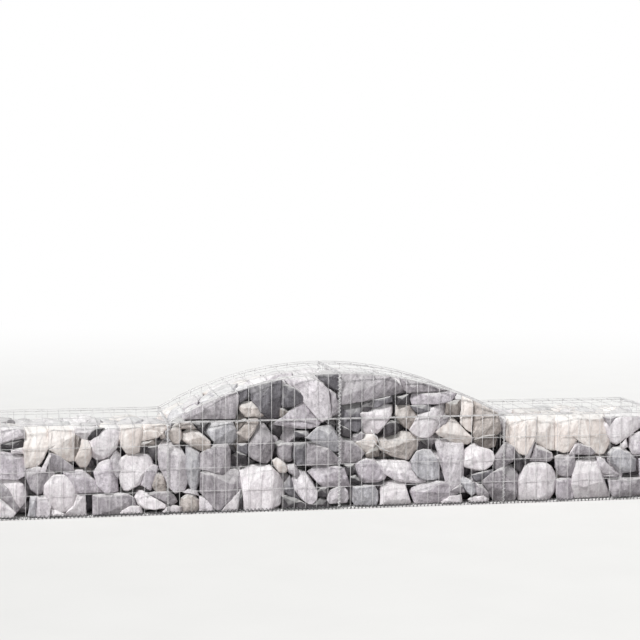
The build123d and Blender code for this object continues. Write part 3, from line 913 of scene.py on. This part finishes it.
@dataclass
class StoneStore:
    """Stones of one bay gathered into one mesh."""

    name: str
    top_of: Callable[[float], float]
    verts: list[Triple] = field(default_factory=list)
    faces: list[tuple[int, ...]] = field(default_factory=list)
    tones: list[int] = field(default_factory=list)
    grains: list[float] = field(default_factory=list)
    shades: list[float] = field(default_factory=list)
    skin: float = 0.045  # depth to which the mesh is fine
    tolerance: float = 1.4  # times the wanted length that an edge may have
    passes: int = 6  # times that long edges are halved
    flat: float = 7.0  # degrees between faces that become one
    sharp: float = 32.0  # degrees from which an edge stays sharp
    merged: float = 0.0004  # corners nearer than this become one
    dents: float = 0.0022  # height of the broad dents
    chips: float = 0.0012  # depth of the small chips
    loss: float = 0.0010  # what the whole face is taken back by
    side_gap: float = 0.0084  # front and back of the basket to the stones
    end_gap: float = 0.0045  # the same at the ends and the ground
    top_gap: float = 0.0008  # the same at the top
    slack: float = 0.0003  # step between the gaps of stones, so that no neighbours end on one plane

    def too_long(self, edge: bmesh.types.BMEdge, fine: float) -> bool:
        """Whether an edge is too long where it lies: only the basket's skin has a fine mesh.

        Args:
            edge: The edge.
            fine: Length of an edge in the skin.

        Returns:
            True if it has to be cut.
        """
        middle = (edge.verts[0].co + edge.verts[1].co) / 2
        inside = min(HALF_DEPTH - abs(middle.y), self.top_of(middle.x) - middle.z, END - abs(middle.x))
        return edge.calc_length() > self.tolerance * (fine if inside < self.skin else 4 * fine)

    def add(self, points: list[Vector], tone: Tone, seed: int, fine: float, soft: float) -> None:
        """Adds the stone whose flat breaks lie on the hull of some points.

        Args:
            points: Corners of the stone, with a few more inside.
            tone: Kind of stone.
            seed: Seed of its roughness.
            fine: Length of a mesh edge where it is seen.
            soft: Width of its worn edges.
        """
        shape = bmesh.new()
        for point in points:
            shape.verts.new(point)
        hull = bmesh.ops.convex_hull(shape, input=shape.verts)
        spare = hull["geom_interior"] + hull["geom_unused"]
        inner = {item for item in spare if isinstance(item, bmesh.types.BMVert)}
        bmesh.ops.delete(shape, geom=list(inner), context="VERTS")
        limit = math.radians(self.flat)
        bmesh.ops.dissolve_limit(shape, angle_limit=limit, verts=shape.verts, edges=shape.edges)
        if fine < HIDDEN:
            rounds = 2 if fine < COARSE else 1
            bmesh.ops.bevel(
                shape, geom=shape.edges[:], offset=soft, segments=rounds, profile=0.6, affect="EDGES",
                clamp_overlap=True,
            )
        bmesh.ops.remove_doubles(shape, verts=shape.verts, dist=self.merged)
        bmesh.ops.triangulate(shape, faces=shape.faces)
        for _ in range(self.passes):
            long = [edge for edge in shape.edges if self.too_long(edge, fine)]
            if not long:
                break
            bmesh.ops.subdivide_edges(shape, edges=long, cuts=1)
            bmesh.ops.triangulate(shape, faces=[face for face in shape.faces if len(face.verts) > 3])
        shape.normal_update()
        self.roughen(shape, seed)
        self.store(shape, tone, seed)
        shape.free()

    def roughen(self, shape: bmesh.types.BMesh, seed: int) -> None:
        """Breaks up the stone's flat faces with dents and chips, and keeps it inside the mesh.

        Args:
            shape: The stone.
            seed: Moves the pattern, so that no two stones are alike.
        """
        shift = Vector((seed * 0.731, seed * 1.173, seed * 0.517))
        slack = self.slack * (seed % 17)
        moves = []
        for vert in shape.verts:
            broad = noise.fractal(vert.co * 15.0 + shift, 0.9, 2.1, 3)
            chips = noise.ridged_multi_fractal(vert.co * 38.0 - shift, 1.0, 2.2, 2, 0.9, 1.8) - 1.0
            moves.append(vert.normal * (self.dents * broad - self.chips * chips - self.loss))
        deepest = HALF_DEPTH - self.side_gap - slack
        reach = END - self.end_gap - slack
        lowest = self.end_gap + slack
        for vert, move in zip(shape.verts, moves):
            x, y, z = vert.co + move
            x = max(-reach, min(reach, x))
            y = max(-deepest, min(deepest, y))
            z = max(lowest, min(z, self.top_of(x) - self.top_gap - slack))
            vert.co = Vector((x, y, z))

    def store(self, shape: bmesh.types.BMesh, tone: Tone, seed: int) -> None:
        """Copies a finished stone into the bay's mesh.

        Args:
            shape: The stone.
            tone: Kind of stone.
            seed: Seed of its shade and of the direction of its grain.
        """
        chance = random.Random(seed)
        tilt = Matrix.Rotation(chance.uniform(-0.7, 0.7), 3, "Y")
        turn = tilt @ Matrix.Rotation(chance.uniform(0, ROUND), 3, "Z")
        shift = Vector((chance.uniform(0, 9), chance.uniform(0, 9), chance.uniform(0, 9)))
        shade = chance.uniform(0.88, 1.04)
        base = len(self.verts)
        kind = list(Tone).index(tone)
        shape.verts.ensure_lookup_table()
        for vert in shape.verts:
            self.verts.append(tuple(vert.co))
            self.grains.extend(turn @ vert.co + shift)
            self.shades.append(shade)
        for face in shape.faces:
            self.faces.append(tuple(base + vert.index for vert in face.verts))
            self.tones.append(kind)

    def finish(self, materials: list[Material], node: str) -> None:
        """Makes the bay's stones a piece of the wall.

        Args:
            materials: Finish of each kind of stone, in the order of Tone.
            node: CAD node that they stand for.
        """
        mesh = bpy.data.meshes.new(self.name)
        mesh.from_pydata(self.verts, [], self.faces)
        for material in materials:
            mesh.materials.append(material)
        mesh.polygons.foreach_set("material_index", self.tones)
        mesh.attributes.new("grain", "FLOAT_VECTOR", "POINT").data.foreach_set("vector", self.grains)
        mesh.attributes.new("shade", "FLOAT", "POINT").data.foreach_set("value", self.shades)
        mesh.shade_smooth()
        mesh.set_sharp_from_angle(angle=math.radians(self.sharp))
        mesh.update()
        show(self.name, mesh, "stone", node)


@dataclass
class StoneBay(BayPiece):
    """Stones of one bay: a laid face at the front and back, backing behind it and loose fill between."""

    materials: list[Material]
    face_gap: float = 0.0095  # front of the mesh to the foremost stone
    row_depth: float = 0.145  # depth of the deepest laid stones
    least_depth: float = 0.06  # depth of the shallowest
    spread: float = 0.0075  # growth of the outlines into the gaps between them
    worn_edge: float = 0.010  # roundness of a boulder's edges
    broken_edge: float = 0.0022  # the same of a broken stone
    loose_edge: float = 0.006  # the same of the backing and the domes
    fill_edge: float = 0.004  # the same of the fill
    low_shoulder: float = 0.004  # drop of the arch's top stones at their front
    shoulder: float = 0.042  # the same on the straight bays and behind
    top_zone: float = 0.018  # corners this near to the basket's top follow it
    crest_zone: float = 4  # centimetres below the top in which a stone counts as a crest stone
    end_zone: float = 1.4  # distance along the wall from which its end shows
    backing_depth: float = 0.118  # middle of the basket to the backing
    backing_foot: float = 0.105  # top of its lowest row
    backing_rise: float = 0.1  # height of a row
    backing_mesh: float = 0.018  # length of a mesh edge in it
    fill_mesh: float = 0.013  # the same in the fill
    dome_mesh: float = 0.011  # the same in the domes
    dome_height: float = 0.13
    dome_place: float = 0.04  # distance of the domes behind the basket's middle
    lanes: Triple = (-0.105, 0.0, 0.105)  # where the fill lies, from front to back
    lane_start: float = 0.045  # left edge of the bay to the first stone of a lane
    lane_shift: float = 0.03  # by which every second lane starts later
    lane_end: float = 0.02  # right edge of the bay to where the last may start
    lowest: float = 0.05  # height under which no stone fits
    crest_tones: tuple[Tone, ...] = (K, P, C)
    end_tones: tuple[Tone, ...] = (G, L, P, M, W, T, K)
    fill_tones: tuple[Tone, ...] = (P, L, P, C, K, P, G)
    domes: tuple[tuple[float, float, Tone], ...] = ((-0.625, 0.08, L), (-0.48, 0.095, K), (-0.25, 0.10, P))

    def build(self) -> None:
        """Makes and joins the bay's stones."""
        store = StoneStore(f"stones_{self.number}", wall_top if self.arched else lambda _: HEIGHT)
        for face in FRONT_STONES:
            across = face.middle[0] / PER_METRE
            soft = self.worn_edge if face.worn else self.broken_edge
            if self.holds(across):
                store.add(self.laid(face, -1), face.tone, face.seed, FINE, soft)
            if self.holds(-across):
                limit = PER_METRE * wall_top(across) - self.crest_zone
                crest = max(corner[1] for corner in face.corners) > limit
                tone = self.crest_tones[face.seed % 3] if crest else face.tone
                store.add(self.laid(face, 1), tone, face.seed + 1, COARSE, soft)
        self.add_backing(store)
        self.add_fill(store)
        store.finish(self.materials, f"stone_fill_{self.number}")

    def laid(self, face: StoneFace, facing: int) -> list[Vector]:
        """Corners of a stone whose outline is seen through the front or back mesh.

        Args:
            face: Its outline.
            facing: -1 at the front and 1 at the back, where the wall is turned half round.

        Returns:
            The corners.
        """
        chance = random.Random(face.seed + facing)
        middle_x, middle_z = face.middle
        radius = math.sqrt(face.area / math.pi) / PER_METRE
        depth = min(self.row_depth, max(self.least_depth, 1.7 * radius))
        near = -HALF_DEPTH + self.face_gap + chance.uniform(0.0, 0.005)
        settle = 1.0 if facing < 0 else chance.uniform(0.90, 0.985)
        planes = self.breaks(radius, face.worn, chance)
        corners = []

        def sunk(off_x: float, off_z: float) -> float:
            """How far the broken front lies behind its foremost point at that place."""
            return min(0.3 * depth, max(across * off_x + up * off_z + start for across, up, start in planes))

        def put(off_x: float, off_z: float, y: float, top: float | None) -> None:
            """Adds the corner that shows at one place of the outline.

            Args:
                off_x: Distance of that place from the outline's middle along the wall.
                off_z: The same upwards.
                y: Depth of the corner.
                top: Height of the corner, where that is given by the basket's top.
            """
            seen = Vector((middle_x / PER_METRE + off_x, -HALF_DEPTH, middle_z / PER_METRE + off_z))
            place = EYE + (seen - EYE) * ((y - EYE.y) / (-HALF_DEPTH - EYE.y))
            height = place.z if top is None else top
            corners.append(Vector((-facing * place.x, -facing * place.y, height * settle)))

        for corner_x, corner_z in face.corners:
            off_x = (corner_x - middle_x) / PER_METRE
            off_z = (corner_z - middle_z) / PER_METRE
            reach = math.hypot(off_x, off_z)
            limit = wall_top(corner_x / PER_METRE)
            topmost = corner_z / PER_METRE > limit - self.top_zone
            on_crest = abs(corner_x) < PER_METRE * BAY and facing < 0
            shoulder = self.low_shoulder if on_crest else self.shoulder
            off_x *= 1 + self.spread / reach
            off_z *= 1 + (0.0 if topmost else self.spread) / reach
            fall = chance.uniform(0.006, 0.014)
            inset = min(0.3, chance.uniform(0.001, 0.006) * (3 if face.worn else 1) / max(0.02, reach))
            back = near + sunk(off_x, off_z) + chance.uniform(0.0, 0.003)
            # Depth of each ring of corners, share of the outline and drop from the basket's top
            rings = (
                (back, 1.0 - inset, shoulder),
                (back + chance.uniform(0.010, 0.03), 1.0, 0.4 * shoulder),
                (near + 0.62 * depth, 1.0 - chance.uniform(0.0, 0.06), fall),
                (near + depth, 1.0 - chance.uniform(0.1, 0.35), 3 * fall),
            )
            for y, size, drop in rings:
                put(off_x * size, off_z * size, y, limit - drop if topmost else None)
            for size in (0.72, 0.42, 0.14):
                put(off_x * size, off_z * size, near + sunk(off_x * size, off_z * size), None)
        return corners

    def breaks(self, radius: float, worn: bool, chance: random.Random) -> list[Triple]:
        """Planes along which a stone's front is broken.

        Args:
            radius: Half the stone's width.
            worn: Whether it is a smooth boulder.
            chance: Source of their directions.

        Returns:
            Slope along the wall, slope upwards and start of each plane.
        """
        planes = [(chance.uniform(-0.12, 0.12), chance.uniform(-0.10, 0.12), 0.0)]
        turns = ((50, 130), (200, 340), (-60, 60), (120, 240)) if worn else ((45, 135), (150, 390))
        for least, most in turns:
            angle = math.radians(chance.uniform(least, most))
            slope = 0.28 if worn else chance.uniform(0.3, 1.0)
            start = radius * (0.45 if worn else chance.uniform(-0.1, 0.6))
            planes.append((slope * math.cos(angle), slope * math.sin(angle), -slope * start))
        return planes

    def add_backing(self, store: StoneStore, columns: int = 7) -> None:
        """Adds stones just behind the laid faces, where they show through the gaps; inside the wall they are
        dark, as painted shade of the gaps.

        Args:
            store: Mesh of the bay.
            columns: Number of stones side by side.
        """
        chance = random.Random(80 + self.number)
        for facing in (-1, 1):
            for column in range(columns):
                x = self.start + BAY * (column + 0.5) / columns
                z = self.backing_foot
                while z < store.top_of(x):
                    middle = Vector((x + chance.uniform(-0.02, 0.02), facing * self.backing_depth, z))
                    # Dark and slate tones here are painted shade of the gaps that the backing shows through
                    tone = Tone.DARK if chance.random() < 0.8 else Tone.SLATE
                    radius = chance.uniform(0.062, 0.075)
                    points = self.lump(middle, radius, chance.uniform(0.09, 0.12), 0.0, chance)
                    tone = self.kind(x, tone, chance)
                    store.add(points, tone, chance.randrange(SEEDS), self.backing_mesh, self.loose_edge)
                    z += self.backing_rise

    def kind(self, x: float, tone: Tone, chance: random.Random) -> Tone:
        """Keeps the tone of a stone inside the wall, or mixes the tones where the wall ends."""
        return chance.choice(self.end_tones) if abs(x) > self.end_zone else tone

    def add_fill(self, store: StoneStore) -> None:
        """Adds the loose stones between the laid faces, which crown under the lid.

        Args:
            store: Mesh of the bay.
        """
        chance = random.Random(40 + self.number)
        for x, radius, tone in self.domes:
            if self.holds(x):
                crown = Vector((x, self.dome_place, store.top_of(x)))
                points = self.lump(crown, radius, self.dome_height, self.slope(store, x), chance)
                store.add(points, tone, chance.randrange(SEEDS), self.dome_mesh, self.loose_edge)
        for lane, y in enumerate(self.lanes):
            x = self.start + self.lane_start + self.lane_shift * (lane % 2)
            while x < self.start + BAY - self.lane_end:
                radius = chance.uniform(0.052, 0.08)
                middle = Vector((x, y + chance.uniform(-0.025, 0.025), 0.0))
                high = store.top_of(x) - chance.uniform(0.0, 0.022)
                slope = self.slope(store, x)
                fine = self.fill_mesh
                while high > self.lowest:
                    tall = high - 0.006 if high < 0.15 else chance.uniform(0.09, 0.14)
                    middle.z = high
                    points = self.lump(middle, radius, tall, slope, chance)
                    tone = self.kind(x, chance.choice(self.fill_tones), chance)
                    store.add(points, tone, chance.randrange(SEEDS), fine, self.fill_edge)
                    high -= 0.8 * tall
                    slope = 0.0
                    fine = self.fill_mesh if abs(x) > self.end_zone else HIDDEN
                x += chance.uniform(1.15, 1.5) * radius

    def slope(self, store: StoneStore, x: float) -> float:
        """Slope of the basket's top at x, taken over ten centimetres."""
        return 10 * (store.top_of(x + 0.05) - store.top_of(x - 0.05))

    def lump(
        self, top: Vector, radius: float, tall: float, slope: float, chance: random.Random
    ) -> list[Vector]:
        """Corners of one loose broken stone.

        Args:
            top: Middle of its upper side.
            radius: About half its width.
            tall: Its height.
            slope: Rise of its upper side along the wall.
            chance: Source of its irregularities.

        Returns:
            The corners.
        """
        # Corners on a level, least and most distance below the top, least and most share of the radius
        levels = (
            (4, 0.0, 0.006, 0.3, 0.65),
            (6, 0.008, 0.032, 0.75, 1.05),
            (6, 0.4 * tall, 0.6 * tall, 0.85, 1.15),
            (5, 0.9 * tall, tall, 0.4, 0.8),
        )
        turn = chance.uniform(0.0, ROUND)
        stretch = chance.uniform(0.8, 1.2)
        points = []
        for count, least, most, narrow, wide in levels:
            for corner in range(count):
                angle = turn + 2 * math.pi * (corner + chance.uniform(-0.3, 0.3)) / count
                reach = radius * chance.uniform(narrow, wide)
                x = reach * math.cos(angle) * stretch
                y = reach * math.sin(angle) / stretch
                point = top + Vector((x, y, slope * x - chance.uniform(least, most)))
                over = max(0.0, abs(point.x) - END + 0.008)
                point.x -= math.copysign(1.3 * over, point.x)
                points.append(point)
        return points


@dataclass
class Studio:
    """Pale floor, soft light, white background and the camera."""

    reach: float = 12.0
    fade_start: float = 1.9
    fade_end: float = 11.5
    white: tuple[float, ...] = (1.0, 1.0, 1.0, 1.0)
    sky: tuple[float, ...] = (0.95, 0.98, 1.0, 1.0)
    sky_strength: float = 0.34
    lens: float = 86.085
    turns: Triple = (10.796, 3.956, 0.16)

    def build(self) -> None:
        """Makes the floor, the lamps, the world and the camera."""
        self.add_floor()
        self.add_lamp("key_light", strength=2.95, direction=(46.0, -40.0), softness=12.0)
        self.add_lamp("fill_light", strength=0.30, direction=(28.0, 35.0), softness=60.0)
        self.add_world()
        self.add_camera()

    def add_floor(self) -> None:
        """Makes the floor, which turns into the white background far from the wall."""
        mesh = bpy.data.meshes.new("floor")
        corners = [(-1, -1), (1, -1), (1, 1), (-1, 1)]
        mesh.from_pydata([(self.reach * x, self.reach * y, 0) for x, y in corners], [], [(0, 1, 2, 3)])
        floor = bpy.data.objects.new("floor", mesh)
        bpy.context.scene.collection.objects.link(floor)
        graph = Graph(bpy.data.materials.new("pale_floor"))
        place = graph.add("ShaderNodeTexCoord").outputs["Object"]
        distance = graph.add("ShaderNodeVectorMath", {0: place}, operation="LENGTH").outputs["Value"]
        fading = {"Value": distance, "From Min": self.fade_start, "From Max": self.fade_end}
        fade = graph.add("ShaderNodeMapRange", fading, interpolation_type="SMOOTHSTEP").outputs["Result"]
        colour = graph.mix(graph.noise(place, 3.0, 4.0, 0.5), linear(216, 215, 213), linear(221, 220, 218))
        matt = graph.add("ShaderNodeBsdfDiffuse", {"Color": colour, "Roughness": 0.6})
        glow = graph.add("ShaderNodeEmission", {"Color": self.white, "Strength": 1.0})
        rays = graph.add("ShaderNodeLightPath").outputs
        seen = {0: rays["Is Camera Ray"], 1: rays["Is Glossy Ray"]}
        shown = graph.add("ShaderNodeMath", seen, operation="MAXIMUM").outputs["Value"]
        share = graph.add("ShaderNodeMath", {0: fade, 1: shown}, operation="MULTIPLY").outputs["Value"]
        both = graph.add("ShaderNodeMixShader", {0: share, 1: matt.outputs[0], 2: glow.outputs[0]})
        mesh.materials.append(graph.finish(both))

    def add_lamp(self, name: str, strength: float, direction: Pair, softness: float) -> None:
        """Adds a soft distant lamp.

        Args:
            name: Its name.
            strength: Its light on a surface that faces it.
            direction: Its height above the horizon and its turn from straight ahead of the wall, in degrees.
            softness: Angle that it fills, in degrees.
        """
        light = bpy.data.lights.new(name, "SUN")
        light.energy = strength
        light.angle = math.radians(softness)
        lamp = bpy.data.objects.new(name, light)
        height, turn = (math.radians(angle) for angle in direction)
        level = math.cos(height)
        source = Vector((math.sin(turn) * level, -math.cos(turn) * level, math.sin(height)))
        lamp.rotation_euler = source.to_track_quat("Z", "Y").to_euler()
        bpy.context.scene.collection.objects.link(lamp)

    def add_world(self) -> None:
        """Makes the surroundings: white where they are seen and soft light elsewhere."""
        graph = Graph(bpy.data.worlds.new("studio"))
        rays = graph.add("ShaderNodeLightPath").outputs
        seen = rays["Is Camera Ray"]
        for kind in ("Is Glossy Ray", "Is Transmission Ray"):
            seen = graph.add("ShaderNodeMath", {0: seen, 1: rays[kind]}, operation="MAXIMUM").outputs[0]
        soft = graph.add("ShaderNodeBackground", {"Color": self.sky, "Strength": self.sky_strength})
        plain = graph.add("ShaderNodeBackground", {"Color": self.white, "Strength": 1.0})
        both = graph.add("ShaderNodeMixShader", {0: seen, 1: soft.outputs[0], 2: plain.outputs[0]})
        bpy.context.scene.world = graph.finish(both, "ShaderNodeOutputWorld")

    def add_camera(self) -> None:
        """Places the camera where the photograph was taken from."""
        data = bpy.data.cameras.new("camera")
        data.sensor_width = 36.0
        data.lens = self.lens
        data.clip_end = 60.0
        camera = bpy.data.objects.new("camera", data)
        yaw, pitch, roll = (math.radians(angle) for angle in self.turns)
        forward = Vector((math.sin(yaw) * math.cos(pitch), math.cos(yaw) * math.cos(pitch), -math.sin(pitch)))
        level = Vector((math.cos(yaw), -math.sin(yaw), 0.0))
        right = level * math.cos(roll) + level.cross(forward) * math.sin(roll)
        turn = Matrix((right, right.cross(forward), -forward)).transposed().to_4x4()
        camera.matrix_world = Matrix.Translation(EYE) @ turn
        bpy.context.scene.collection.objects.link(camera)
        bpy.context.scene.camera = camera


@dataclass
class GabionWall:
    """The whole basket: panels, lids, spirals and stones."""

    mesh_wire: Material
    spiral_wire: Material
    foot_wire: Material
    stones: list[Material]

    def build(self) -> None:
        """Makes every piece of the wall."""
        for number in range(1, len(STATIONS)):
            UprightPanel(number, -1, self.mesh_wire).build()
            UprightPanel(number, 1, self.mesh_wire).build()
            Lid(number, self.mesh_wire).build()
            BasePanel(number, self.mesh_wire).build()
            StoneBay(number, self.stones).build()
        TieWires(self.spiral_wire).build()
        for station, name in zip(STATIONS[1:-1], ("left", "centre", "right")):
            CrossPanel(station, f"divider_mesh_{name}", f"divider_{name}", self.mesh_wire).build()
        for station, name in ((-END, "left"), (END, "right")):
            CrossPanel(station, f"end_mesh_{name}", f"end_panel_{name}", self.mesh_wire).build()
        for number, station in enumerate(STATIONS, 1):
            self.add_spirals(number, station)
        along = Vector((1.0, 0.0, 0.0))
        for facing, side in ((-1, "front"), (1, "back")):
            foot = Vector((-END, facing * LACED, 0.0075))
            lacing = SpiralBinder(
                f"{side}_foot_lacing", foot, along, Vector((0.0, facing, 0.0)), 2 * END, self.foot_wire
            )
            lacing.thickness = lacing.floor = 0.0016
            lacing.build()

    def add_spirals(self, number: int, station: float) -> None:
        """Makes the spirals of one station: up the front and back, and across the top.

        Args:
            number: Number of the station from the left.
            station: Its place along the wall.
        """
        up = Vector((0.0, 0.0, 1.0))
        x = inward(station, WIRE / 2)
        tall = wall_top(station)
        for facing, side in ((-1, "front"), (1, "back")):
            foot = Vector((x, facing * LACED, 0.0))
            outward = Vector((0.0, facing, 0.0))
            binder = SpiralBinder(f"{side}_spiral_{number}", foot, up, outward, tall, self.spiral_wire)
            binder.nodes = (f"spiral_{side}_{number}",)
            if station == 0:
                binder.thickness = 0.0012
            binder.build()
        ridge = Vector((x, -HALF_DEPTH, tall + (WIRE / 2 if abs(station) == BAY else 0.0)))
        back = Vector((0.0, 1.0, 0.0))
        binder = SpiralBinder(f"top_spiral_{number}", ridge, back, up, 2 * HALF_DEPTH, self.spiral_wire)
        binder.nodes = (f"spiral_top_{number}",)
        binder.build()


def main() -> None:
    """Builds the wall and its studio and sets how colours are shown."""
    logging.basicConfig(level=logging.INFO, format="%(name)s: %(message)s")
    mesh_wire = WireFinish("galvanised_mesh_wire").material()
    bright = WireFinish("galvanised_spiral_wire", zinc=(238, 237, 237), dull=(196, 195, 196), metallic=0.3)
    spiral_wire = bright.material()
    stones = [tone.value.material() for tone in Tone]
    # The foot lacing's wire is darkened as painted shade of the ground under the wall's foot, not by
    # weathering
    worn = WireFinish("foot_wire_with_painted_shade", zinc=(140, 139, 140), dull=(62, 61, 63), metallic=0.3)
    foot_wire = worn.material()
    GabionWall(mesh_wire, spiral_wire, foot_wire, stones).build()
    Studio().build()
    bpy.context.scene.view_settings.view_transform = "Standard"


if __name__ == "__main__":
    main()
